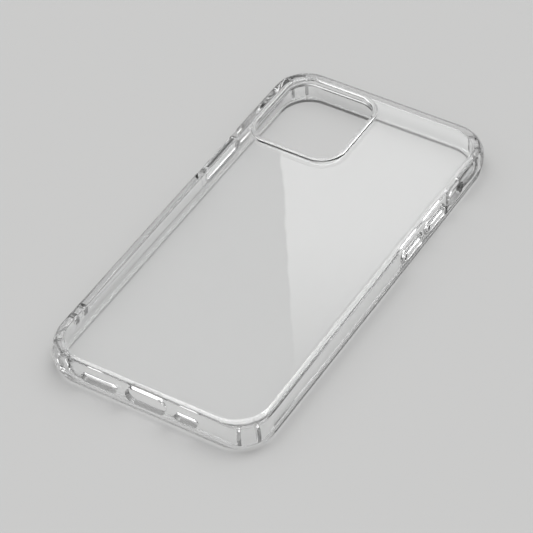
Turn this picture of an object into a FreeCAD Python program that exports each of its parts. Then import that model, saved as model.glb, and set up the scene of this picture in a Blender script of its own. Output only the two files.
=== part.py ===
import FreeCAD, Part
import math
import os

import Sketcher

# A clear protective case for a flat-sided phone of about 146.7 x 71.5 x 7.7 mm.
#
# The case lies on its front rim, so the hard back panel is on top. +Z points out of the back,
# +Y points to the end of the phone that carries the camera, and the origin is on the rim plane,
# in the middle of the case. Seen from the back, the power button is on the left side wall and
# the volume buttons and the ring switch are on the right one. All sizes are millimetres.

os.makedirs("parts", exist_ok=True)
doc = FreeCAD.newDocument("clear_phone_case")


# ----------------------------------------------------------------------------------------------
# Driving sizes
# ----------------------------------------------------------------------------------------------

class Length:
    """A size that carries its number and the sheet expression that gives the same number."""

    def __init__(self, number, text):
        self.number = float(number)
        self.text = text

    def __add__(self, other):
        other = as_length(other)
        return Length(self.number + other.number, "(%s + %s)" % (self.text, other.text))

    def __sub__(self, other):
        other = as_length(other)
        return Length(self.number - other.number, "(%s - %s)" % (self.text, other.text))

    def __mul__(self, factor):
        return Length(self.number * factor, "(%s * %s)" % (self.text, factor))

    def __truediv__(self, divisor):
        return Length(self.number / divisor, "(%s / %s)" % (self.text, divisor))

    def __neg__(self):
        return Length(-self.number, "(0 - %s)" % self.text)


def as_length(value):
    if isinstance(value, Length):
        return value
    return Length(value, "%s" % value)


SIZES = [
    # the frame's outline
    ("case_width", 76.0, "over the straight side walls"),
    ("case_length", 151.0, "over the end walls"),
    ("frame_height", 11.0, "front rim to the back edge of the frame"),
    ("outline_radius", 13.0, "outer corner seen from the back"),
    ("front_edge_round", 0.9, "rounding of the rim that lies on the table"),
    ("back_edge_round", 1.2, "rounding of the frame's outer back edge"),
    # the cushioned corners
    ("cushion_radius", 8.5, "widest radius of a corner cushion, at mid height"),
    ("cushion_end_radius", 6.6, "radius of a corner cushion at its two ends"),
    ("cushion_arc", 7.53, "radius of the cushion's barrel curve"),
    ("cushion_low", 0.4, "height where a corner cushion starts"),
    ("cushion_high", 10.4, "height where a corner cushion ends"),
    ("cushion_inset", 0.1, "how far the cushion's widest line stays inside the side planes"),
    ("air_slot_width", 1.1, "air slot in a corner cushion, along the wall"),
    ("air_slot_depth", 3.0, "air slot length, measured from inside the cavity"),
    ("air_slot_height", 5.8, "air slot height"),
    ("air_slot_level", 5.2, "mid height of the air slots"),
    ("air_slot_reach", 11.5, "cavity corner centre to the middle of an air slot"),
    # the space for the phone
    ("phone_width", 71.5, "phone over its side faces"),
    ("phone_length", 146.7, "phone over its end faces"),
    ("phone_clearance", 0.2, "gap between phone and frame on each side"),
    ("cavity_radius", 11.0, "corner radius of the cavity"),
    ("cavity_floor", 1.2, "thickness of the front lip"),
    ("cavity_top", 8.9, "height of the face that the phone's back rests on"),
    ("lip_width", 0.9, "how far the front lip reaches over the screen"),
    ("lip_radius", 10.1, "corner radius inside the front lip"),
    # the back panel
    ("band_width", 3.0, "width of the frame's band around the back panel"),
    ("panel_radius", 10.0, "corner radius of the back panel"),
    ("panel_top", 11.0, "height of the back panel's outer face"),
    ("tongue_width", 0.8, "tongue around the panel that the frame is moulded over"),
    ("tongue_low", 9.4, "lower face of the tongue"),
    ("tongue_high", 10.0, "upper face of the tongue"),
    # the camera guard
    ("guard_x", -17.2, "middle of the camera guard across the case"),
    ("guard_y", 53.85, "middle of the camera guard along the case"),
    ("guard_width", 34.8, "outer width of the guard's raised rim"),
    ("guard_length", 36.5, "outer length of the guard's raised rim"),
    ("guard_radius", 9.0, "outer corner radius of the raised rim"),
    ("guard_wall", 1.75, "width of the raised rim"),
    ("guard_shoulder", 0.7, "how far the rim overlaps the back panel"),
    ("guard_top", 11.7, "height of the raised rim"),
    ("guard_round", 0.5, "rounding of the rim's top edges"),
    # openings in the end wall with the charging port
    ("port_width", 14.4, "charging port cut-out"),
    ("port_height", 6.2, "charging port cut-out"),
    ("port_level", 5.7, "mid height of the charging port cut-out"),
    ("port_radius", 2.9, "corner radius of the charging port cut-out"),
    ("slot_height", 3.2, "height of both speaker slots"),
    ("slot_radius", 1.5, "end radius of both speaker slots"),
    ("slot_level", 4.9, "mid height of both speaker slots"),
    ("long_slot_x", -16.85, "middle of the long speaker slot"),
    ("long_slot_width", 12.7, "long speaker slot"),
    ("short_slot_x", 14.3, "middle of the short speaker slot"),
    ("short_slot_width", 8.0, "short speaker slot"),
    # openings in the side walls
    ("switch_y", 49.8, "middle of the ring switch cut-out"),
    ("switch_length", 9.4, "ring switch cut-out"),
    ("switch_height", 5.4, "ring switch cut-out"),
    ("switch_level", 5.9, "mid height of the ring switch cut-out"),
    ("switch_radius", 2.6, "corner radius of the ring switch cut-out"),
    ("strap_hole_length", 2.2, "each strap hole along the wall"),
    ("strap_hole_height", 3.2, "each strap hole"),
    ("strap_hole_radius", 0.9, "corner radius of a strap hole"),
    ("strap_hole_level", 6.2, "mid height of the strap holes"),
    ("strap_hole_near_y", -53.6, "middle of the strap hole nearer the camera"),
    ("strap_hole_far_y", -58.3, "middle of the strap hole nearer the charging port"),
    # the three buttons
    ("button_level", 5.2, "mid height of every button"),
    ("button_height", 3.4, "height of every button pad"),
    ("button_radius", 1.6, "corner radius of a button pad"),
    ("button_proud", 0.4, "how far a pad stands out of the side wall"),
    ("button_back", 1.6, "side plane to a pad's inner face"),
    ("button_edge_round", 0.35, "rounding of a pad's outer edge"),
    ("button_gap", 0.05, "gap between a pad and its skirt"),
    ("power_y", 26.5, "middle of the power button"),
    ("power_length", 18.5, "power button pad"),
    ("volume_up_y", 36.5, "middle of the volume up button"),
    ("volume_down_y", 21.5, "middle of the volume down button"),
    ("volume_length", 11.6, "each volume button pad"),
    ("skirt_width", 0.9, "flexible skirt around a pad"),
    ("skirt_thickness", 0.6, "flexible skirt, through the wall"),
    ("skirt_depth", 1.2, "side plane to the middle of a skirt"),
    ("skirt_radius", 2.4, "outer corner radius of a skirt"),
    ("recess_depth", 0.6, "finger recess around the buttons"),
    ("recess_floor", 2.0, "height where a finger recess starts"),
    ("recess_radius", 1.6, "lower corner radius of a finger recess"),
    ("power_recess_y", 26.5, "middle of the recess at the power button"),
    ("power_recess_length", 24.0, "recess at the power button"),
    ("volume_recess_y", 28.2, "middle of the recess at the volume buttons"),
    ("volume_recess_length", 31.6, "recess at the volume buttons"),
    ("opening_edge_round", 0.3, "rounding of the outer edges of the cut-outs"),
]

sheet = doc.addObject("Spreadsheet::Sheet", "Sizes")
size = {}
for row, (alias, number, meaning) in enumerate(SIZES, start=1):
    sheet.set("A%d" % row, alias)
    sheet.set("B%d" % row, str(number))
    sheet.set("C%d" % row, meaning)
    sheet.setAlias("B%d" % row, alias)
    size[alias] = Length(number, "Sizes." + alias)
doc.recompute()


def bind(target, path, length):
    """Drive one property of an object from the sheet."""
    target.setExpression(path, length.text)


# ----------------------------------------------------------------------------------------------
# Sketches and features
# ----------------------------------------------------------------------------------------------

def origin_plane(body, role):
    for plane in body.Origin.OriginFeatures:
        if plane.Role == role:
            return plane
    raise ValueError("no origin plane " + role)


def new_body(name):
    body = doc.addObject("PartDesign::Body", name)
    body.Label = name
    return body


def new_sketch(body, name, plane, place, turn=0.0):
    """Put a sketch on an origin plane, with its own origin at place.

    place is written in the plane's directions: XY_Plane has x, y, z. XZ_Plane has x, z, -y.
    YZ_Plane has y, z, x. turn rotates the sketch in its plane, in degrees.
    """
    sketch = body.newObject("Sketcher::SketchObject", name)
    sketch.AttachmentSupport = [(origin_plane(body, plane), "")]
    sketch.MapMode = "FlatFace"
    lengths = [as_length(part) for part in place]
    middle = FreeCAD.Vector(*[part.number for part in lengths])
    rotation = FreeCAD.Rotation(FreeCAD.Vector(0, 0, 1), turn)
    sketch.AttachmentOffset = FreeCAD.Placement(middle, rotation)
    for letter, part in zip("xyz", lengths):
        bind(sketch, "AttachmentOffset.Base." + letter, part)
    return sketch


def dimension(sketch, name, constraint, length):
    """Add a named driving dimension that follows the sheet."""
    index = sketch.addConstraint(constraint)
    sketch.renameConstraint(index, name)
    bind(sketch, "Constraints." + name, length)


def rounded_rectangle(sketch, width, length, radius):
    """Draw a rectangle with round corners around the sketch's origin."""
    half_x = width.number / 2
    half_y = length.number / 2
    corner = radius.number
    inner_x = half_x - corner
    inner_y = half_y - corner

    def line(x1, y1, x2, y2):
        return Part.LineSegment(FreeCAD.Vector(x1, y1, 0), FreeCAD.Vector(x2, y2, 0))

    def arc(x, y, start):
        circle = Part.Circle(FreeCAD.Vector(x, y, 0), FreeCAD.Vector(0, 0, 1), corner)
        return Part.ArcOfCircle(circle, math.radians(start), math.radians(start + 90))

    outline = [
        line(-inner_x, -half_y, inner_x, -half_y),
        arc(inner_x, -inner_y, -90),
        line(half_x, -inner_y, half_x, inner_y),
        arc(inner_x, inner_y, 0),
        line(inner_x, half_y, -inner_x, half_y),
        arc(-inner_x, inner_y, 90),
        line(-half_x, inner_y, -half_x, -inner_y),
        arc(-inner_x, -inner_y, 180),
    ]
    first = sketch.GeometryCount
    for curve in outline:
        sketch.addGeometry(curve, False)
    bottom, arc_1, right, arc_2, top, arc_3, left, arc_4 = range(first, first + 8)
    for place in range(8):
        sketch.addConstraint(Sketcher.Constraint(
            "Tangent", first + place, 2, first + (place + 1) % 8, 1))
    sketch.addConstraint(Sketcher.Constraint("Horizontal", bottom))
    sketch.addConstraint(Sketcher.Constraint("Horizontal", top))
    sketch.addConstraint(Sketcher.Constraint("Vertical", right))
    sketch.addConstraint(Sketcher.Constraint("Vertical", left))
    sketch.addConstraint(Sketcher.Constraint("Equal", arc_1, arc_2))
    sketch.addConstraint(Sketcher.Constraint("Equal", arc_2, arc_3))
    sketch.addConstraint(Sketcher.Constraint("Equal", arc_3, arc_4))
    sketch.addConstraint(Sketcher.Constraint("Symmetric", arc_1, 3, arc_3, 3, -1, 1))
    tag = "" if first == 0 else "_inner"
    dimension(sketch, "width" + tag,
              Sketcher.Constraint("DistanceX", left, 1, right, 1, width.number), width)
    dimension(sketch, "length" + tag,
              Sketcher.Constraint("DistanceY", bottom, 1, top, 1, length.number), length)
    dimension(sketch, "radius" + tag,
              Sketcher.Constraint("Radius", arc_1, radius.number), radius)


def pad(body, sketch, name, thickness):
    """Add material evenly on both sides of the sketch."""
    feature = body.newObject("PartDesign::Pad", name)
    feature.Profile = sketch
    feature.SideType = "Symmetric"
    feature.Length = thickness.number
    bind(feature, "Length", thickness)
    doc.recompute()
    return feature


def pocket(body, sketch, name, depth):
    """Cut material away evenly on both sides of the sketch, and make sure that it is cut."""
    before = body.Shape.Volume
    feature = body.newObject("PartDesign::Pocket", name)
    feature.Profile = sketch
    feature.SideType = "Symmetric"
    feature.Length = depth.number
    bind(feature, "Length", depth)
    doc.recompute()
    if body.Shape.Volume > before - 0.01:
        raise ValueError("nothing was cut by " + name)
    return feature


def round_edges(body, base, name, chosen, radius):
    """Round the edges of base that the function chosen picks."""
    names = []
    for number, edge in enumerate(base.Shape.Edges, start=1):
        if chosen(edge):
            names.append("Edge%d" % number)
    if not names:
        raise ValueError("no edges for " + name)
    feature = body.newObject("PartDesign::Fillet", name)
    feature.Base = (base, names)
    feature.Radius = radius.number
    bind(feature, "Radius", radius)
    doc.recompute()
    if feature.Shape.isNull() or not feature.Shape.isValid():
        raise ValueError("the rounding failed in " + name)
    return feature


def slab(body, name, width, length, radius, low, high, x=0.0, y=0.0, cut=False):
    """A rounded rectangle between two heights, added to the body or cut out of it."""
    place = (x, y, (low + high) / 2)
    sketch = new_sketch(body, name + "_outline", "XY_Plane", place)
    rounded_rectangle(sketch, width, length, radius)
    if cut:
        return pocket(body, sketch, name, high - low)
    return pad(body, sketch, name, high - low)


# ----------------------------------------------------------------------------------------------
# Sizes that follow from the driving ones
# ----------------------------------------------------------------------------------------------

side_plane = size["case_width"] / 2
end_plane = size["case_length"] / 2
cavity_width = size["phone_width"] + size["phone_clearance"] * 2
cavity_length = size["phone_length"] + size["phone_clearance"] * 2
lip_opening_width = cavity_width - size["lip_width"] * 2
lip_opening_length = cavity_length - size["lip_width"] * 2
panel_width = size["case_width"] - size["band_width"] * 2
panel_length = size["case_length"] - size["band_width"] * 2
tongue_outer_width = panel_width + size["tongue_width"] * 2
tongue_outer_length = panel_length + size["tongue_width"] * 2
tongue_radius = size["panel_radius"] + size["tongue_width"]
neck_width = size["guard_width"] - size["guard_shoulder"] * 2
neck_length = size["guard_length"] - size["guard_shoulder"] * 2
neck_radius = size["guard_radius"] - size["guard_shoulder"]
lens_opening_width = size["guard_width"] - size["guard_wall"] * 2
lens_opening_length = size["guard_length"] - size["guard_wall"] * 2
lens_opening_radius = size["guard_radius"] - size["guard_wall"]
wall_cut = Length(6.0, "6")

# name, side (+1 right wall, -1 left wall), middle along the case, pad length
BUTTONS = [
    ("power_button", -1, size["power_y"], size["power_length"]),
    ("volume_up_button", 1, size["volume_up_y"], size["volume_length"]),
    ("volume_down_button", 1, size["volume_down_y"], size["volume_length"]),
]


# ----------------------------------------------------------------------------------------------
# The soft frame
# ----------------------------------------------------------------------------------------------

def corner_cushion(body, name, side, end):
    """Swell one corner into a barrel, which takes the shock when the phone is dropped."""
    axis_x = (side_plane - size["cushion_radius"] - size["cushion_inset"]) * side
    axis_y = (end_plane - size["cushion_radius"] - size["cushion_inset"]) * end
    sketch = new_sketch(body, name + "_profile", "XZ_Plane", (axis_x, 0.0, -axis_y))
    low = size["cushion_low"].number
    high = size["cushion_high"].number
    reach = size["cushion_end_radius"].number
    curve = size["cushion_arc"].number
    middle = (low + high) / 2
    half_turn = math.asin((high - low) / 2 / curve)
    centre = FreeCAD.Vector(reach - curve * math.cos(half_turn), middle, 0)
    circle = Part.Circle(centre, FreeCAD.Vector(0, 0, 1), curve)
    sketch.addGeometry(Part.LineSegment(
        FreeCAD.Vector(0, low, 0), FreeCAD.Vector(reach, low, 0)), False)
    sketch.addGeometry(Part.ArcOfCircle(circle, -half_turn, half_turn), False)
    sketch.addGeometry(Part.LineSegment(
        FreeCAD.Vector(reach, high, 0), FreeCAD.Vector(0, high, 0)), False)
    sketch.addGeometry(Part.LineSegment(
        FreeCAD.Vector(0, high, 0), FreeCAD.Vector(0, low, 0)), False)
    for place in range(4):
        sketch.addConstraint(Sketcher.Constraint("Coincident", place, 2, (place + 1) % 4, 1))
    sketch.addConstraint(Sketcher.Constraint("Horizontal", 0))
    sketch.addConstraint(Sketcher.Constraint("Horizontal", 2))
    sketch.addConstraint(Sketcher.Constraint("PointOnObject", 0, 1, -2))
    sketch.addConstraint(Sketcher.Constraint("PointOnObject", 3, 1, -2))
    sketch.addConstraint(Sketcher.Constraint("Equal", 0, 2))
    dimension(sketch, "low", Sketcher.Constraint("DistanceY", -1, 1, 0, 1, low),
              size["cushion_low"])
    dimension(sketch, "high", Sketcher.Constraint("DistanceY", -1, 1, 3, 1, high),
              size["cushion_high"])
    dimension(sketch, "end_radius", Sketcher.Constraint("DistanceX", 0, 1, 0, 2, reach),
              size["cushion_end_radius"])
    dimension(sketch, "barrel", Sketcher.Constraint("Radius", 1, curve), size["cushion_arc"])
    before = body.Shape.Volume
    feature = body.newObject("PartDesign::Revolution", name)
    feature.Profile = sketch
    feature.ReferenceAxis = (sketch, ["V_Axis"])
    feature.Angle = 360.0
    doc.recompute()
    if body.Shape.Volume < before + 1.0:
        raise ValueError("no cushion was added by " + name)


def air_slot(body, name, side, end, angle):
    """Cut one upright air slot into a corner cushion, from inside the cavity."""
    centre_x = (cavity_width / 2 - size["cavity_radius"]) * side
    centre_y = (cavity_length / 2 - size["cavity_radius"]) * end
    turn = math.degrees(math.atan2(end, side)) + angle
    step_x = size["air_slot_reach"] * math.cos(math.radians(turn))
    step_y = size["air_slot_reach"] * math.sin(math.radians(turn))
    place = (centre_x + step_x, centre_y + step_y, size["air_slot_level"])
    sketch = new_sketch(body, name + "_outline", "XY_Plane", place, turn)
    rounded_rectangle(sketch, size["air_slot_depth"], size["air_slot_width"],
                      size["air_slot_width"] * 0.45)
    pocket(body, sketch, name, size["air_slot_height"])


def wall_window(body, name, plane, along, wall, level, length, height, radius, depth):
    """Cut a rounded window through a wall. wall is the plane's height in the sketch's frame."""
    sketch = new_sketch(body, name + "_outline", plane, (along, level, wall))
    rounded_rectangle(sketch, length, height, radius)
    return pocket(body, sketch, name, depth)


def make_bumper_frame():
    body = new_body("bumper_frame")
    outline = new_sketch(body, "frame_outline", "XY_Plane",
                         (0.0, 0.0, size["frame_height"] / 2))
    rounded_rectangle(outline, size["case_width"], size["case_length"], size["outline_radius"])
    block = pad(body, outline, "frame_block", size["frame_height"])

    top = size["frame_height"].number
    round_edges(body, block, "back_edge_rounding",
                lambda edge: edge.BoundBox.ZMin > top - 0.01, size["back_edge_round"])
    round_edges(body, body.Tip, "front_edge_rounding",
                lambda edge: edge.BoundBox.ZMax < 0.01, size["front_edge_round"])

    corners = [(1, 1), (-1, 1), (-1, -1), (1, -1)]
    for number, (side, end) in enumerate(corners, start=1):
        corner_cushion(body, "corner_cushion_%d" % number, side, end)

    # the space for the phone, open at the front inside the lip and at the back for the panel
    slab(body, "phone_cavity", cavity_width, cavity_length, size["cavity_radius"],
         size["cavity_floor"], size["cavity_top"], cut=True)
    slab(body, "screen_opening", lip_opening_width, lip_opening_length, size["lip_radius"],
         -size["cavity_floor"], size["cavity_floor"] + 0.2, cut=True)
    slab(body, "back_opening", panel_width, panel_length, size["panel_radius"],
         size["cavity_top"] - 0.2, size["frame_height"] + 1.0, cut=True)
    slab(body, "tongue_groove", tongue_outer_width, tongue_outer_length, tongue_radius,
         size["tongue_low"], size["tongue_high"], cut=True)

    for number, (side, end) in enumerate(corners, start=1):
        for letter, angle in (("a", -12.5), ("b", 12.5)):
            air_slot(body, "air_slot_%d%s" % (number, letter), side, end, angle)

    # the end wall with the charging port and the two speaker slots
    end_openings = [
        ("charging_port", as_length(0.0), size["port_level"], size["port_width"],
         size["port_height"], size["port_radius"]),
        ("long_speaker_slot", size["long_slot_x"], size["slot_level"],
         size["long_slot_width"], size["slot_height"], size["slot_radius"]),
        ("short_speaker_slot", size["short_slot_x"], size["slot_level"],
         size["short_slot_width"], size["slot_height"], size["slot_radius"]),
    ]
    for name, along, level, length, height, radius in end_openings:
        wall_window(body, name, "XZ_Plane", along, end_plane + 0.5, level,
                    length, height, radius, wall_cut)

    # the finger recesses run out over the back edge
    recess_height = size["frame_height"] + 4.0 - size["recess_floor"]
    recess_level = size["recess_floor"] + recess_height / 2
    for name, side, along, length in (
            ("power_recess", -1, size["power_recess_y"], size["power_recess_length"]),
            ("volume_recess", 1, size["volume_recess_y"], size["volume_recess_length"])):
        wall_window(body, name, "YZ_Plane", along, side_plane * side, recess_level,
                    length, recess_height, size["recess_radius"], size["recess_depth"] * 2)

    # windows that the button skirts close
    for name, side, along, length in BUTTONS:
        wall_window(body, name + "_window", "YZ_Plane", along, side_plane * side,
                    size["button_level"], length + size["skirt_width"] * 2,
                    size["button_height"] + size["skirt_width"] * 2, size["skirt_radius"],
                    wall_cut)

    wall_window(body, "ring_switch_opening", "YZ_Plane", size["switch_y"], side_plane,
                size["switch_level"], size["switch_length"], size["switch_height"],
                size["switch_radius"], wall_cut)
    for name, along in (("strap_hole_near", size["strap_hole_near_y"]),
                        ("strap_hole_far", size["strap_hole_far_y"])):
        wall_window(body, name, "YZ_Plane", along, -side_plane, size["strap_hole_level"],
                    size["strap_hole_length"], size["strap_hole_height"],
                    size["strap_hole_radius"], wall_cut)

    # the cut-outs for the port, the slots and the switch have rounded outer edges
    end_y = -end_plane.number
    side_x = side_plane.number
    rim = (size["front_edge_round"].number, top - size["back_edge_round"].number)

    def on_port_wall(edge):
        box = edge.BoundBox
        flat = box.YLength < 0.01 and abs(box.YMin - end_y) < 0.01
        return flat and box.ZMin > rim[0] + 0.5 and box.ZMax < rim[1] - 0.1

    def on_switch_wall(edge):
        box = edge.BoundBox
        flat = box.XLength < 0.01 and abs(box.XMin - side_x) < 0.01
        beside = box.YMin > size["switch_y"].number - 6 and box.YMax < 57
        return flat and beside and box.ZMin > rim[0] + 0.5 and box.ZMax < rim[1] - 0.1

    round_edges(body, body.Tip, "port_wall_rounding", on_port_wall,
                size["opening_edge_round"])
    round_edges(body, body.Tip, "switch_rounding", on_switch_wall,
                size["opening_edge_round"])
    return body


# ----------------------------------------------------------------------------------------------
# The hard back panel and the camera guard
# ----------------------------------------------------------------------------------------------

def make_back_panel():
    body = new_body("back_panel")
    slab(body, "panel_plate", panel_width, panel_length, size["panel_radius"],
         size["cavity_top"], size["panel_top"])
    slab(body, "panel_tongue", tongue_outer_width, tongue_outer_length, tongue_radius,
         size["tongue_low"], size["tongue_high"])
    slab(body, "camera_opening", neck_width, neck_length, neck_radius,
         size["cavity_top"] - 1.0, size["panel_top"] + 1.0,
         x=size["guard_x"], y=size["guard_y"], cut=True)
    return body


def make_camera_guard():
    body = new_body("camera_guard")
    slab(body, "guard_neck", neck_width, neck_length, neck_radius,
         size["cavity_top"], size["guard_top"], x=size["guard_x"], y=size["guard_y"])
    slab(body, "guard_rim", size["guard_width"], size["guard_length"], size["guard_radius"],
         size["panel_top"], size["guard_top"], x=size["guard_x"], y=size["guard_y"])
    slab(body, "lens_opening", lens_opening_width, lens_opening_length, lens_opening_radius,
         size["cavity_top"] - 1.0, size["guard_top"] + 1.0,
         x=size["guard_x"], y=size["guard_y"], cut=True)
    top = size["guard_top"].number
    round_edges(body, body.Tip, "guard_rounding",
                lambda edge: edge.BoundBox.ZMin > top - 0.01, size["guard_round"])
    return body


# ----------------------------------------------------------------------------------------------
# The buttons and the soft skirts that carry them
# ----------------------------------------------------------------------------------------------

def make_button(name, side, along, length):
    body = new_body(name)
    outer_face = side_plane + size["button_proud"]
    inner_face = side_plane - size["button_back"]
    middle = (outer_face + inner_face) / 2 * side
    sketch = new_sketch(body, name + "_outline", "YZ_Plane",
                        (along, size["button_level"], middle))
    rounded_rectangle(sketch, length, size["button_height"], size["button_radius"])
    block = pad(body, sketch, name + "_pad", outer_face - inner_face)
    edge_x = outer_face.number * side
    round_edges(body, block, name + "_rounding",
                lambda edge: edge.BoundBox.XLength < 0.01
                and abs(edge.BoundBox.XMin - edge_x) < 0.01,
                size["button_edge_round"])
    return body


def make_skirt(name, side, along, length):
    body = new_body(name + "_skirt")
    middle = (side_plane - size["skirt_depth"]) * side
    sketch = new_sketch(body, name + "_skirt_outline", "YZ_Plane",
                        (along, size["button_level"], middle))
    rounded_rectangle(sketch, length + size["skirt_width"] * 2,
                      size["button_height"] + size["skirt_width"] * 2, size["skirt_radius"])
    rounded_rectangle(sketch, length + size["button_gap"] * 2,
                      size["button_height"] + size["button_gap"] * 2,
                      size["button_radius"] + size["button_gap"])
    pad(body, sketch, name + "_skirt_web", size["skirt_thickness"])
    return body


pieces = [make_bumper_frame(), make_back_panel(), make_camera_guard()]
for button in BUTTONS:
    pieces.append(make_button(*button))
    pieces.append(make_skirt(*button))


# ----------------------------------------------------------------------------------------------
# Checks, then one file for each piece
# ----------------------------------------------------------------------------------------------

doc.recompute()
for item in doc.Objects:
    if "Invalid" in item.State or "Error" in item.State:
        raise ValueError("%s has state %s" % (item.Name, item.State))
for piece in pieces:
    shape = piece.Shape
    if shape.isNull() or not shape.isValid():
        raise ValueError("%s has no valid shape" % piece.Label)
    if len(shape.Solids) != 1:
        raise ValueError("%s has %d solids" % (piece.Label, len(shape.Solids)))
for piece in pieces:
    piece.Placement = FreeCAD.Placement()
    piece.Shape.exportStep("parts/%s.step" % piece.Label)
    box = piece.Shape.BoundBox
    print("%-26s volume %9.2f  x %.2f..%.2f  y %.2f..%.2f  z %.2f..%.2f" % (
        piece.Label, piece.Shape.Volume, box.XMin, box.XMax, box.YMin, box.YMax,
        box.ZMin, box.ZMax))
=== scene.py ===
import math

import bmesh
import bpy
from mathutils import Matrix, Vector


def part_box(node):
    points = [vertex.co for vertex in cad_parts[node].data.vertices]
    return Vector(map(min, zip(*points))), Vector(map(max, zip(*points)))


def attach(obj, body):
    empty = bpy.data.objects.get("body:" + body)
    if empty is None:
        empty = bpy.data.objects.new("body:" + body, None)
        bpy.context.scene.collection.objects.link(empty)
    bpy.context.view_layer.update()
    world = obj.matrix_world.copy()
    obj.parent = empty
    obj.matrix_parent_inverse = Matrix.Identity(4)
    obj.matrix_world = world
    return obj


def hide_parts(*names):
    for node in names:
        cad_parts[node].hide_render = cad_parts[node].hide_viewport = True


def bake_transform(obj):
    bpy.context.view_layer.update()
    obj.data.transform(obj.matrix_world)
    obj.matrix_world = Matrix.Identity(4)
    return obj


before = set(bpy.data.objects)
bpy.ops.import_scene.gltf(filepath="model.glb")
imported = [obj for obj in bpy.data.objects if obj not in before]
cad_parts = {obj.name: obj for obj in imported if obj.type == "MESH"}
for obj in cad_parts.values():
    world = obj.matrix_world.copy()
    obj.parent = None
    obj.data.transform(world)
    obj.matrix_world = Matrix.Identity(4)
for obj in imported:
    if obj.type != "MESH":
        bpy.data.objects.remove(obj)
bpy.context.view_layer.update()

MM = 0.001

# ----------------------------------------------------------------------------------------------
# Sizes, in millimetres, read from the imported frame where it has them
# ----------------------------------------------------------------------------------------------


def node_box(node):
    """A node's lowest and highest corners, in millimetres."""
    low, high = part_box(node)
    return [value / MM for value in low], [value / MM for value in high]


_, frame_high = node_box("bumper_frame")
panel_low, _ = node_box("back_panel")
guard_low, guard_high = node_box("camera_guard")

HALF_WIDTH = frame_high[0]
HALF_LENGTH = frame_high[1]
FRAME_TOP = frame_high[2]
OUTLINE_RADIUS = 13.0
CUSHION_RADIUS = 8.6
CUSHION_LEVEL = 5.4
CUSHION_REACH = 5.6
FRONT_ROUND = 0.9
CAVITY_HALF_WIDTH = 35.95
CAVITY_HALF_LENGTH = 73.55
CAVITY_RADIUS = 11.0
CAVITY_TOP = panel_low[2]
LIP_THICKNESS = 1.2
LIP_WIDTH = 0.9
BAND_WIDTH = 3.0
CROWN_START = 0.95
CROWN_DROP = 0.32
SEAM_DEPTH = 0.22
INNER_ROUND = 0.8
LIP_ROUND = 0.25
CUT_ROUND = 0.32
WELD_DISTANCE = 0.002
CORNER_STEPS = 24

# Material slots of the frame
PLAIN, JOINED, CUT, SIDE = range(4)


# ----------------------------------------------------------------------------------------------
# Mesh helpers
# ----------------------------------------------------------------------------------------------


def rounded_ring(half_x, half_y, radius, level, centre=(0.0, 0.0)):
    """Points of a rounded rectangle at one height, anticlockwise."""
    points = []
    corners = ((1, 1, 0), (-1, 1, 90), (-1, -1, 180), (1, -1, 270))
    for side, end, start in corners:
        middle_x = centre[0] + side * (half_x - radius)
        middle_y = centre[1] + end * (half_y - radius)
        for step in range(CORNER_STEPS + 1):
            angle = math.radians(start + 90.0 * step / CORNER_STEPS)
            points.append((middle_x + radius * math.cos(angle),
                           middle_y + radius * math.sin(angle), level))
    return points


def lofted(name, rings, bonded_after=(), wall=(), seam=()):
    """Join rings into a closed tube of faces.

    bonded_after lists the rings followed by hidden faces, wall those followed by side faces, and
    seam those followed by the faces of the parting line.
    """
    mesh = bpy.data.meshes.new(name)
    count = len(rings[0])
    verts = [Vector(point) * MM for ring in rings for point in ring]
    faces = []
    marks = []
    for row in range(len(rings)):
        following = (row + 1) % len(rings)
        for column in range(count):
            beside = (column + 1) % count
            faces.append((row * count + column, row * count + beside,
                          following * count + beside, following * count + column))
            marks.append(JOINED if row in bonded_after else CUT if row in seam else
                         SIDE if row in wall else PLAIN)
    mesh.from_pydata(verts, [], faces)
    for polygon, mark in zip(mesh.polygons, marks):
        polygon.material_index = mark
    mesh.validate()
    piece = bpy.data.objects.new(name, mesh)
    bpy.context.collection.objects.link(piece)
    return piece


def outer_radius(level):
    """The frame's corner radius swells from the rims towards the cushion level."""
    reach = (level - CUSHION_LEVEL) / CUSHION_REACH
    return OUTLINE_RADIUS - (OUTLINE_RADIUS - CUSHION_RADIUS) * max(0.0, 1.0 - reach * reach)


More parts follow.
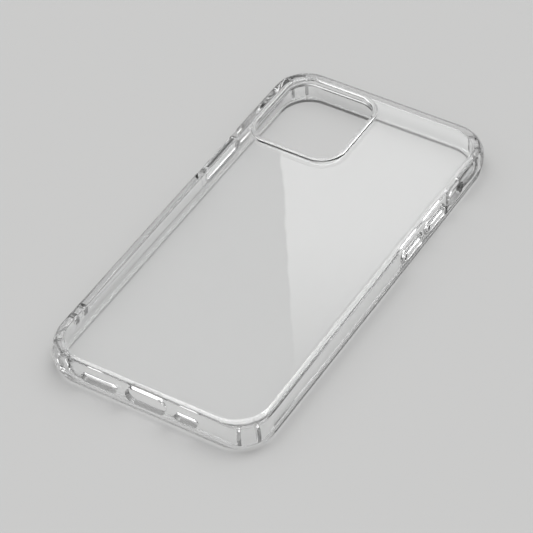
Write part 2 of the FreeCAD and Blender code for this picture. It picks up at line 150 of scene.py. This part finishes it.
def frame_rings():
    rings = []

    def outer(inset, level):
        radius = outer_radius(level) - inset
        rings.append(rounded_ring(HALF_WIDTH - inset, HALF_LENGTH - inset, radius, level))

    def inner(inset, level):
        """inset is measured from the cavity wall towards the middle."""
        rings.append(rounded_ring(CAVITY_HALF_WIDTH - inset, CAVITY_HALF_LENGTH - inset,
                                  CAVITY_RADIUS - inset, level))

    for step in range(7):
        turn = math.radians(90 * step / 6)
        outer(FRONT_ROUND * (1 - math.sin(turn)), FRONT_ROUND * (1 - math.cos(turn)))
    low = FRONT_ROUND
    crown = FRAME_TOP - CROWN_DROP
    slope = math.atan(2 * CROWN_DROP / (BAND_WIDTH - CROWN_START))
    radius = CROWN_START / (1 - math.sin(slope))
    high = crown - radius * math.cos(slope)
    wall_start = len(rings) - 1
    for step in range(1, 10):
        outer(0.0, low + (high - low) * step / 10)
    wall = range(wall_start, len(rings))
    seam = range(len(rings) + 6, len(rings) + 10)
    for step in range(13):
        turn = (math.pi / 2 - slope) * step / 12
        depth = SEAM_DEPTH * max(0.0, 1.0 - abs(step - 8) / 2)
        outer(radius * (1 - math.cos(turn)) + depth * math.cos(turn),
              high + (radius - depth) * math.sin(turn))
    for step in range(1, 8):
        share = 1 - step / 8
        outer(BAND_WIDTH - (BAND_WIDTH - CROWN_START) * share,
              FRAME_TOP - CROWN_DROP * share * share)
    outer(BAND_WIDTH, FRAME_TOP)
    bonded = len(rings) - 1
    outer(BAND_WIDTH, CAVITY_TOP)
    for step in range(7):
        turn = math.radians(90 * step / 6)
        inner(INNER_ROUND * (1 - math.sin(turn)), CAVITY_TOP - INNER_ROUND * (1 - math.cos(turn)))
    for step in range(4):
        turn = math.radians(90 * step / 3)
        inner(LIP_ROUND * (1 - math.cos(turn)), LIP_THICKNESS + LIP_ROUND * (1 - math.sin(turn)))
    for step in range(5):
        turn = math.radians(90 * step / 4)
        inner(LIP_WIDTH - LIP_ROUND * (1 - math.sin(turn)),
              LIP_THICKNESS - LIP_ROUND * (1 - math.cos(turn)))
    inner(LIP_WIDTH, 0.1)
    inner(LIP_WIDTH - 0.1, 0.0)
    return rings, bonded, wall, seam


def prism(name, face, centre, size, radius, low, high):
    """A cutter with a rounded outline. face is the axis that it is pushed along: "x" or "y".

    centre and size are along the wall and up. low and high are the ends on the axis.
    """
    ring = rounded_ring(size[0] / 2, size[1] / 2, radius, 0.0, centre)
    bm = bmesh.new()
    loops = []
    for end in (low, high):
        if face == "x":
            points = [Vector((end, along, up)) for along, up, _ in ring]
        else:
            points = [Vector((along, end, up)) for along, up, _ in ring]
        loops.append([bm.verts.new(point * MM) for point in points])
    for index in range(len(ring)):
        beside = (index + 1) % len(ring)
        bm.faces.new((loops[0][index], loops[0][beside], loops[1][beside], loops[1][index]))
    bm.faces.new(loops[0])
    bm.faces.new(loops[1])
    for bm_face in bm.faces:
        bm_face.material_index = CUT
    bmesh.ops.recalc_face_normals(bm, faces=bm.faces)
    mesh = bpy.data.meshes.new(name)
    bm.to_mesh(mesh)
    bm.free()
    for _ in range(CUT + 1):
        mesh.materials.append(None)
    piece = bpy.data.objects.new(name, mesh)
    bpy.context.collection.objects.link(piece)
    return piece


def apply_modifiers(piece):
    """Bake the piece's modifiers into its mesh."""
    bpy.context.view_layer.update()
    graph = bpy.context.evaluated_depsgraph_get()
    mesh = bpy.data.meshes.new_from_object(piece.evaluated_get(graph))
    piece.modifiers.clear()
    piece.data = mesh


def cut_away(piece, cutters):
    """Subtract the cutters from the piece, one after the other."""
    for cutter in cutters:
        modifier = piece.modifiers.new("cut", "BOOLEAN")
        modifier.operation = "DIFFERENCE"
        modifier.solver = "EXACT"
        modifier.object = cutter
        apply_modifiers(piece)
        bpy.data.objects.remove(cutter)


def round_cut_edges(piece, width):
    """Round every edge between a cut face and the rest."""
    bm = bmesh.new()
    bm.from_mesh(piece.data)
    bmesh.ops.remove_doubles(bm, verts=bm.verts, dist=WELD_DISTANCE * MM)
    weights = bm.edges.layers.float.new("bevel_weight_edge")
    for edge in bm.edges:
        marks = [face.material_index == CUT for face in edge.link_faces]
        if len(marks) == 2 and marks[0] != marks[1] and edge.calc_face_angle(0.0) > 0.35:
            edge[weights] = 1.0
    bm.to_mesh(piece.data)
    bm.free()
    modifier = piece.modifiers.new("rounding", "BEVEL")
    modifier.limit_method = "WEIGHT"
    modifier.width = width * MM
    modifier.segments = 3
    modifier.use_clamp_overlap = True
    apply_modifiers(piece)


def outward(piece):
    """Point the faces of a closed mesh outwards."""
    bm = bmesh.new()
    bm.from_mesh(piece.data)
    bmesh.ops.recalc_face_normals(bm, faces=bm.faces)
    bm.to_mesh(piece.data)
    bm.free()


def smooth(piece, angle=40.0):
    """Smooth shading that keeps edges sharper than the angle."""
    for polygon in piece.data.polygons:
        polygon.use_smooth = True
    piece.data.set_sharp_from_angle(angle=math.radians(angle))


# ----------------------------------------------------------------------------------------------
# Materials
# ----------------------------------------------------------------------------------------------


IOR = 1.5
DEEPEST_BOUNCE = 5.5


def clear_plastic(name, shade, haze, wave, painted_shade_factor=1.0):
    """Clear plastic.

    Shadow and diffuse rays pass straight through, dimmed to shade, so that the floor under it is
    lit. So do rays past DEEPEST_BOUNCE, which would else stay trapped inside and end black. haze
    is the highest roughness, wave the bump's height in metres, and painted_shade_factor scales the
    base colour: below 1 it is painted shade, dimming the light seen through the faces.
    """
    material = bpy.data.materials.new(name)
    material.use_nodes = True
    nodes = material.node_tree.nodes
    links = material.node_tree.links
    nodes.clear()
    output = nodes.new("ShaderNodeOutputMaterial")
    plastic = nodes.new("ShaderNodeBsdfPrincipled")
    place = nodes.new("ShaderNodeTexCoord")
    cloud = nodes.new("ShaderNodeTexNoise")
    cloud.inputs["Scale"].default_value = 260.0
    cloud.inputs["Detail"].default_value = 3.0
    links.new(place.outputs["Object"], cloud.inputs["Vector"])
    polish = nodes.new("ShaderNodeMapRange")
    polish.inputs["From Min"].default_value = 0.45
    polish.inputs["From Max"].default_value = 0.8
    polish.inputs["To Min"].default_value = 0.0
    polish.inputs["To Max"].default_value = haze
    links.new(cloud.outputs["Fac"], polish.inputs["Value"])
    links.new(polish.outputs["Result"], plastic.inputs["Roughness"])
    # Base colour: a faint random tint times painted_shade_factor, which below 1 paints shade on
    # the faces.
    tint = nodes.new("ShaderNodeMix")
    tint.data_type = "RGBA"
    tint.inputs["A"].default_value = (painted_shade_factor, painted_shade_factor, painted_shade_factor, 1.0)
    tint.inputs["B"].default_value = (0.985 * painted_shade_factor, 0.992 * painted_shade_factor, 0.992 * painted_shade_factor, 1.0)
    links.new(cloud.outputs["Fac"], tint.inputs["Factor"])
    links.new(tint.outputs["Result"], plastic.inputs["Base Color"])
    flow = nodes.new("ShaderNodeTexNoise")
    flow.inputs["Scale"].default_value = 90.0
    flow.inputs["Detail"].default_value = 1.0
    links.new(place.outputs["Object"], flow.inputs["Vector"])
    bump = nodes.new("ShaderNodeBump")
    bump.inputs["Strength"].default_value = 1.0
    bump.inputs["Distance"].default_value = wave
    links.new(flow.outputs["Fac"], bump.inputs["Height"])
    links.new(bump.outputs["Normal"], plastic.inputs["Normal"])
    plastic.inputs["IOR"].default_value = IOR
    plastic.inputs["Transmission Weight"].default_value = 1.0
    clear = nodes.new("ShaderNodeBsdfTransparent")
    clear.inputs["Color"].default_value = (shade, shade, shade, 1.0)
    path = nodes.new("ShaderNodeLightPath")
    lamp_light = nodes.new("ShaderNodeMath")
    lamp_light.operation = "MAXIMUM"
    trapped = nodes.new("ShaderNodeMath")
    trapped.operation = "GREATER_THAN"
    trapped.inputs[1].default_value = DEEPEST_BOUNCE
    passing = nodes.new("ShaderNodeMath")
    passing.operation = "MAXIMUM"
    mix = nodes.new("ShaderNodeMixShader")
    links.new(path.outputs["Is Shadow Ray"], lamp_light.inputs[0])
    links.new(path.outputs["Is Diffuse Ray"], lamp_light.inputs[1])
    links.new(path.outputs["Ray Depth"], trapped.inputs[0])
    links.new(lamp_light.outputs[0], passing.inputs[0])
    links.new(trapped.outputs[0], passing.inputs[1])
    links.new(passing.outputs[0], mix.inputs[0])
    links.new(plastic.outputs[0], mix.inputs[1])
    links.new(clear.outputs[0], mix.inputs[2])
    links.new(mix.outputs[0], output.inputs["Surface"])
    return material


def bonded_face():
    """Faces where two pieces are moulded together, which can't be seen."""
    material = bpy.data.materials.new("bonded_face")
    material.use_nodes = True
    nodes = material.node_tree.nodes
    nodes.clear()
    output = nodes.new("ShaderNodeOutputMaterial")
    clear = nodes.new("ShaderNodeBsdfTransparent")
    material.node_tree.links.new(clear.outputs[0], output.inputs["Surface"])
    return material


SOFT = clear_plastic("soft_clear_plastic", 0.985, 0.03, 0.00004)
WALL = clear_plastic("soft_clear_plastic_wall", 0.4, 0.03, 0.00004)
# Cut and seam faces: base colour dimmed to 0.4, painted shade standing in for the dark lines that
# refraction draws along these edges.
PAINTED_SHADE_EDGE = clear_plastic("soft_clear_plastic_edge_painted_shade", 0.985, 0.03, 0.00002, painted_shade_factor=0.4)
HARD = clear_plastic("hard_clear_plastic", 1.0, 0.015, 0.000004)
BONDED = bonded_face()


# ----------------------------------------------------------------------------------------------
# The frame and the back panel
# ----------------------------------------------------------------------------------------------

rings, bonded, wall, seam = frame_rings()
bumper = lofted("bumper_frame_look", rings, bonded_after=(bonded,), wall=wall, seam=seam)
# Slot CUT, the cut faces and the parting-line seam, takes the painted-shade edge material.
for material in (SOFT, BONDED, PAINTED_SHADE_EDGE, WALL):
    bumper.data.materials.append(material)
RECESS_DEPTH = 0.6
RECESS_FLOOR = 2.0
RECESS_TOP = 15.0
RECESS_RADIUS = 1.6
RECESSES = ((-1, 26.5, 24.0), (1, 28.2, 31.6))   # side, middle along the case, length
WINDOW_RADIUS = 2.4
PAD_RADIUS = 1.6
PAD_GAP = 0.03
AIR_SLOT_TURN = 12.5
STRAP_HOLES = (-53.6, -58.3)
CLEARANCE_OUT = 3.0    # how far a cutter reaches past the outer face
CLEARANCE_IN = 2.5     # and past the cavity's wall
BUTTONS = (("power_button", -1), ("volume_up_button", 1), ("volume_down_button", 1))


def air_slot_cutter(side, end, angle):
    """One upright slot in a corner cushion, open to the cavity."""
    turn = math.atan2(end, side) + math.radians(angle)
    slot = prism("air_slot", "x", (0.0, 5.2), (1.1, 5.8), 0.5, 10.0, 13.0)
    middle = (side * (CAVITY_HALF_WIDTH - CAVITY_RADIUS) * MM,
              end * (CAVITY_HALF_LENGTH - CAVITY_RADIUS) * MM, 0.0)
    slot.data.transform(Matrix.Translation(middle) @ Matrix.Rotation(turn, 4, "Z"))
    return slot


def frame_cutters():
    out_y = -HALF_LENGTH - CLEARANCE_OUT
    in_y = -CAVITY_HALF_LENGTH + CLEARANCE_IN
    cutters = [
        prism("port", "y", (0.0, 5.7), (14.4, 6.2), 2.9, out_y, in_y),
        prism("long_slot", "y", (-16.85, 4.9), (12.7, 3.2), 1.5, out_y, in_y),
        prism("short_slot", "y", (14.3, 4.9), (8.0, 3.2), 1.5, out_y, in_y),
        prism("ring_switch", "x", (49.8, 5.9), (9.4, 5.4), 2.6,
              CAVITY_HALF_WIDTH - CLEARANCE_IN, HALF_WIDTH + CLEARANCE_OUT),
    ]
    for along in STRAP_HOLES:
        cutters.append(prism("strap_hole", "x", (along, 6.2), (2.2, 3.2), 0.9,
                             -HALF_WIDTH - CLEARANCE_OUT, -CAVITY_HALF_WIDTH + CLEARANCE_IN))
    recess_height = RECESS_TOP - RECESS_FLOOR
    recess_level = (RECESS_TOP + RECESS_FLOOR) / 2
    for side, along, length in RECESSES:
        ends = sorted((side * (HALF_WIDTH - RECESS_DEPTH), side * (HALF_WIDTH + 2.0)))
        cutters.append(prism("recess", "x", (along, recess_level), (length, recess_height),
                             RECESS_RADIUS, *ends))
    for side, end in ((1, 1), (-1, 1), (-1, -1), (1, -1)):
        cutters += [air_slot_cutter(side, end, turn) for turn in (-AIR_SLOT_TURN, AIR_SLOT_TURN)]
    for node, side in BUTTONS:
        low, high = node_box(node + "_skirt")
        ends = sorted((side * (CAVITY_HALF_WIDTH - 1.5), side * (HALF_WIDTH + 2.0)))
        cutters.append(prism("window", "x",
                             ((low[1] + high[1]) / 2, (low[2] + high[2]) / 2),
                             (high[1] - low[1], high[2] - low[2]), WINDOW_RADIUS, *ends))
    return cutters


cut_away(bumper, frame_cutters())
round_cut_edges(bumper, CUT_ROUND)
for polygon in bumper.data.polygons:
    on_recess = abs(abs(polygon.center.x) - (HALF_WIDTH - RECESS_DEPTH) * MM) < 0.01 * MM
    if on_recess and abs(polygon.normal.x) > 0.99:
        polygon.material_index = SIDE
smooth(bumper)
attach(bumper, "case")
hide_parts("bumper_frame")


def button_skirt(node, side):
    """The thin web that joins a pad to the frame: a shallow cone."""
    low, high = node_box(node + "_skirt")
    pad_low, pad_high = node_box(node)
    middle = ((low[1] + high[1]) / 2, (low[2] + high[2]) / 2)
    outer_size = ((high[1] - low[1]) / 2, (high[2] - low[2]) / 2)
    pad_size = ((pad_high[1] - pad_low[1]) / 2 + PAD_GAP,
                (pad_high[2] - pad_low[2]) / 2 + PAD_GAP)
    seat = HALF_WIDTH - 1.4
    pad_radius = PAD_RADIUS + PAD_GAP
    stations = ((outer_size, WINDOW_RADIUS, seat - 0.25), (outer_size, WINDOW_RADIUS, seat + 0.25),
                (pad_size, pad_radius, seat + 0.85), (pad_size, pad_radius, seat + 0.35))
    rings = []
    for half, radius, reach in stations:
        ring = rounded_ring(half[0], half[1], radius, 0.0, middle)
        rings.append([(side * reach, along, up) for along, up, _ in ring])
    web = lofted(node + "_skirt_look", rings)
    outward(web)
    web.data.materials.append(SOFT)
    smooth(web)
    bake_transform(web)
    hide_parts(node + "_skirt")
    return web


for node, side in BUTTONS:
    button_skirt(node, side)


GUARD_WALL = 1.75
GUARD_RADIUS = 9.0
GUARD_FOOT = 0.35
guard_middle = ((guard_low[0] + guard_high[0]) / 2, (guard_low[1] + guard_high[1]) / 2)
GUARD_HALF = ((guard_high[0] - guard_low[0]) / 2, (guard_high[1] - guard_low[1]) / 2)


def guard_ring(inset, level):
    return rounded_ring(GUARD_HALF[0] - inset, GUARD_HALF[1] - inset, GUARD_RADIUS - inset, level,
                        guard_middle)


def plate_with_hole():
    """The back panel: flush with the frame, with a moulded seat for the camera guard."""
    rim_radius = OUTLINE_RADIUS - BAND_WIDTH
    half_x = HALF_WIDTH - BAND_WIDTH
    half_y = HALF_LENGTH - BAND_WIDTH
    bm = bmesh.new()

    def loop_of(points):
        return [bm.verts.new(Vector(point) * MM) for point in points]

    def fill(outer_loop, inner_loop, mark):
        edges = []
        for loop in (outer_loop, inner_loop):
            for index in range(len(loop)):
                pair = (loop[index], loop[(index + 1) % len(loop)])
                edges.append(bm.edges.get(pair) or bm.edges.new(pair))
        made = bmesh.ops.triangle_fill(bm, use_beauty=True, edges=edges)
        for item in made["geom"]:
            if isinstance(item, bmesh.types.BMFace):
                item.material_index = mark

    def strip(first, second, mark):
        for index in range(len(first)):
            beside = (index + 1) % len(first)
            face = bm.faces.new((first[index], first[beside], second[beside], second[index]))
            face.material_index = mark

    low_rim = loop_of(rounded_ring(half_x, half_y, rim_radius, CAVITY_TOP))
    low_hole = loop_of(guard_ring(GUARD_WALL, CAVITY_TOP))
    top_rim = loop_of(rounded_ring(half_x, half_y, rim_radius, FRAME_TOP))
    top_seat = loop_of(guard_ring(-GUARD_FOOT, FRAME_TOP))
    top_hole = loop_of(guard_ring(GUARD_WALL, FRAME_TOP))
    fill(low_rim, low_hole, PLAIN)
    fill(top_rim, top_seat, PLAIN)
    strip(top_seat, top_hole, JOINED)
    strip(low_rim, top_rim, JOINED)
    strip(low_hole, top_hole, PLAIN)
    bmesh.ops.recalc_face_normals(bm, faces=bm.faces)
    mesh = bpy.data.meshes.new("back_panel_look")
    bm.to_mesh(mesh)
    bm.free()
    piece = bpy.data.objects.new("back_panel_look", mesh)
    bpy.context.collection.objects.link(piece)
    return piece


def guard_look():
    """The raised bead round the lens opening, moulded onto the panel."""
    top = guard_high[2]
    half = GUARD_WALL / 2
    rings = [guard_ring(GUARD_WALL, FRAME_TOP)]
    for step in range(17):
        turn = math.radians(180 * step / 16)
        rings.append(guard_ring(half + half * math.cos(turn),
                                FRAME_TOP + 0.1 + (top - FRAME_TOP - 0.1) * math.sin(turn)))
    for step in range(1, 5):
        turn = math.radians(90 * step / 4)
        rings.append(guard_ring(-GUARD_FOOT * (1 - math.cos(turn)),
                                FRAME_TOP + 0.1 * (1 - math.sin(turn))))
    bead = lofted("camera_guard_look", rings, bonded_after=(len(rings) - 1,))
    outward(bead)
    bead.data.materials.append(SOFT)
    bead.data.materials.append(BONDED)
    smooth(bead)
    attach(bead, "case")
    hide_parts("camera_guard")


guard_look()


def button_pad(node, side):
    """A pill-shaped pad with a softly domed face."""
    low, high = node_box(node)
    middle = ((low[1] + high[1]) / 2, (low[2] + high[2]) / 2)
    half = ((high[1] - low[1]) / 2, (high[2] - low[2]) / 2)
    inner_face = min(abs(low[0]), abs(high[0]))
    outer_face = max(abs(low[0]), abs(high[0]))
    edge = 0.55
    bm = bmesh.new()
    loops = []

    def add(inset, reach):
        ring = rounded_ring(half[0] - inset, half[1] - inset, PAD_RADIUS - inset, 0.0, middle)
        loops.append([bm.verts.new(Vector((side * reach, along, up)) * MM)
                      for along, up, _ in ring])

    for step in range(4):
        turn = math.radians(90 * step / 3)
        add(0.25 * (1 - math.sin(turn)), inner_face + 0.25 * (1 - math.cos(turn)))
    for step in range(7):
        turn = math.radians(90 * step / 6)
        add(edge * (1 - math.cos(turn)), outer_face - 0.04 - edge * (1 - math.sin(turn)))
    add(edge + 0.5, outer_face)
    for first, second in zip(loops, loops[1:]):
        for index in range(len(first)):
            beside = (index + 1) % len(first)
            bm.faces.new((first[index], first[beside], second[beside], second[index]))
    bm.faces.new(loops[0])
    bm.faces.new(loops[-1])
    bmesh.ops.recalc_face_normals(bm, faces=bm.faces)
    mesh = bpy.data.meshes.new(node + "_look")
    bm.to_mesh(mesh)
    bm.free()
    pad = bpy.data.objects.new(node + "_look", mesh)
    bpy.context.collection.objects.link(pad)
    pad.data.materials.append(SOFT)
    smooth(pad)
    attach(pad, node.replace("_button", ""))
    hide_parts(node)


for node, side in BUTTONS:
    button_pad(node, side)


panel = plate_with_hole()
panel.data.materials.append(HARD)
panel.data.materials.append(BONDED)
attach(panel, "case")
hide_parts("back_panel")

# ----------------------------------------------------------------------------------------------
# Floor, light and camera
# ----------------------------------------------------------------------------------------------

FLOOR_REACH = 3.0    # metres
FLOOR_COLOUR = (0.289, 0.289, 0.287, 1)

floor_mesh = bpy.data.meshes.new("floor")
floor_mesh.from_pydata([(-FLOOR_REACH, -FLOOR_REACH, 0), (FLOOR_REACH, -FLOOR_REACH, 0),
                        (FLOOR_REACH, FLOOR_REACH, 0), (-FLOOR_REACH, FLOOR_REACH, 0)],
                       [], [(0, 1, 2, 3)])
floor = bpy.data.objects.new("floor", floor_mesh)
bpy.context.collection.objects.link(floor)
paper = bpy.data.materials.new("pale_paper")
paper.use_nodes = True
paper_inputs = paper.node_tree.nodes["Principled BSDF"].inputs
paper_inputs["Base Color"].default_value = FLOOR_COLOUR
paper_inputs["Roughness"].default_value = 1.0
paper_inputs["Specular IOR Level"].default_value = 0.0
floor.data.materials.append(paper)

DARK_BAND = (0.2, 0.5)
DARK_LEVEL = 0.005
ROOM_LIGHT = 0.58
# azimuth from +Y towards +X, elevation, roll, width, height, side edge, end edge, strength
SOFT_BOXES = (
    (-20.92, 32.0, -7.4, 0.36, 0.46, 0.0006, 0.04, 1.2),
    (40.0, 40.0, 0.0, 0.8, 0.40, 0.02, 0.02, 0.7),
    (-100.0, 40.0, 0.0, 0.9, 0.40, 0.02, 0.02, 0.9),
    (-160.0, 40.0, 0.0, 0.5, 0.35, 0.02, 0.02, 0.9),
    (135.0, 40.0, 0.0, 0.9, 0.35, 0.02, 0.02, 0.7),
    (16.0, 54.0, 0.0, 0.5, 0.36, 0.03, 0.03, 4.5),
    (0.0, 90.0, 35.0, 1.05, 1.05, 0.06, 0.06, 4.5),
)


def studio_world():
    """An even pale room with a dark band low down, and soft boxes above it."""
    world = bpy.data.worlds.new("studio")
    world.use_nodes = True
    nodes = world.node_tree.nodes
    links = world.node_tree.links
    shade = nodes["Background"]
    coordinate = nodes.new("ShaderNodeTexCoord")
    direction = coordinate.outputs["Generated"]

    def dot(axis):
        node = nodes.new("ShaderNodeVectorMath")
        node.operation = "DOT_PRODUCT"
        links.new(direction, node.inputs[0])
        node.inputs[1].default_value = axis
        return node.outputs["Value"]

    def calculate(operation, first, second):
        node = nodes.new("ShaderNodeMath")
        node.operation = operation
        for socket, value in ((node.inputs[0], first), (node.inputs[1], second)):
            if isinstance(value, (int, float)):
                socket.default_value = value
            else:
                links.new(value, socket)
        return node.outputs[0]

    def ramp(value, start, end):
        """0 before start and 1 after end, smooth between them."""
        node = nodes.new("ShaderNodeMapRange")
        node.interpolation_type = "SMOOTHSTEP"
        links.new(value, node.inputs["Value"])
        node.inputs["From Min"].default_value = start
        node.inputs["From Max"].default_value = end
        return node.outputs["Result"]

    def soft_box(azimuth, elevation, roll, width, height, side_edge, end_edge, strength):
        """A lit rectangle. Sizes and edges are tangents of angles from its middle."""
        turn = math.radians(azimuth)
        rise = math.radians(elevation)
        middle = Vector((math.sin(turn) * math.cos(rise), math.cos(turn) * math.cos(rise),
                         math.sin(rise)))
        level = Vector((math.cos(turn), -math.sin(turn), 0.0))
        upright = level.cross(middle)
        tilt = math.radians(roll)
        across = level * math.cos(tilt) + upright * math.sin(tilt)
        upward = upright * math.cos(tilt) - level * math.sin(tilt)
        facing = calculate("MAXIMUM", dot(middle), 0.001)
        parts = [ramp(dot(middle), 0.0, 0.05)]
        for axis, half, edge in ((across, width / 2, side_edge), (upward, height / 2, end_edge)):
            away = calculate("ABSOLUTE", calculate("DIVIDE", dot(axis), facing), 0.0)
            inside = ramp(away, half - edge, half + edge)
            parts.append(calculate("SUBTRACT", 1.0, inside))
        lit = calculate("MULTIPLY", calculate("MULTIPLY", parts[0], parts[1]), parts[2])
        return calculate("MULTIPLY", lit, strength)

    height = dot((0.0, 0.0, 1.0))
    room = calculate("MULTIPLY", ramp(height, DARK_BAND[0], DARK_BAND[1]), ROOM_LIGHT)
    light = calculate("ADD", room, DARK_LEVEL)
    for box in SOFT_BOXES:
        light = calculate("ADD", light, soft_box(*box))
    links.new(light, shade.inputs["Strength"])
    shade.inputs["Color"].default_value = (1.0, 1.0, 1.0, 1.0)
    bpy.context.scene.world = world


studio_world()

AZIMUTH = math.radians(33.362)
ELEVATION = math.radians(44.38)
ROLL = math.radians(-3.093)
DISTANCE = 834.89
TARGET = Vector((-1.364, -3.518, 0.0))
FOCAL_RATIO = 2633.867 / 533.0

back = Vector((math.sin(AZIMUTH) * math.cos(ELEVATION),
               -math.cos(AZIMUTH) * math.cos(ELEVATION), math.sin(ELEVATION)))
right = (-back).cross(Vector((0, 0, 1))).normalized()
up = right.cross(-back)
camera_x = right * math.cos(ROLL) + up * math.sin(ROLL)
camera_y = -right * math.sin(ROLL) + up * math.cos(ROLL)
camera_data = bpy.data.cameras.new("camera")
camera_data.sensor_width = 36.0
camera_data.lens = 36.0 * FOCAL_RATIO
camera_data.clip_start = 0.05
camera = bpy.data.objects.new("camera", camera_data)
bpy.context.collection.objects.link(camera)
place = Matrix.Translation((TARGET + back * DISTANCE) * MM)
turn = Matrix((camera_x, camera_y, back)).transposed().to_4x4()
camera.matrix_world = place @ turn
bpy.context.scene.camera = camera
bpy.context.scene.view_settings.view_transform = "Standard"
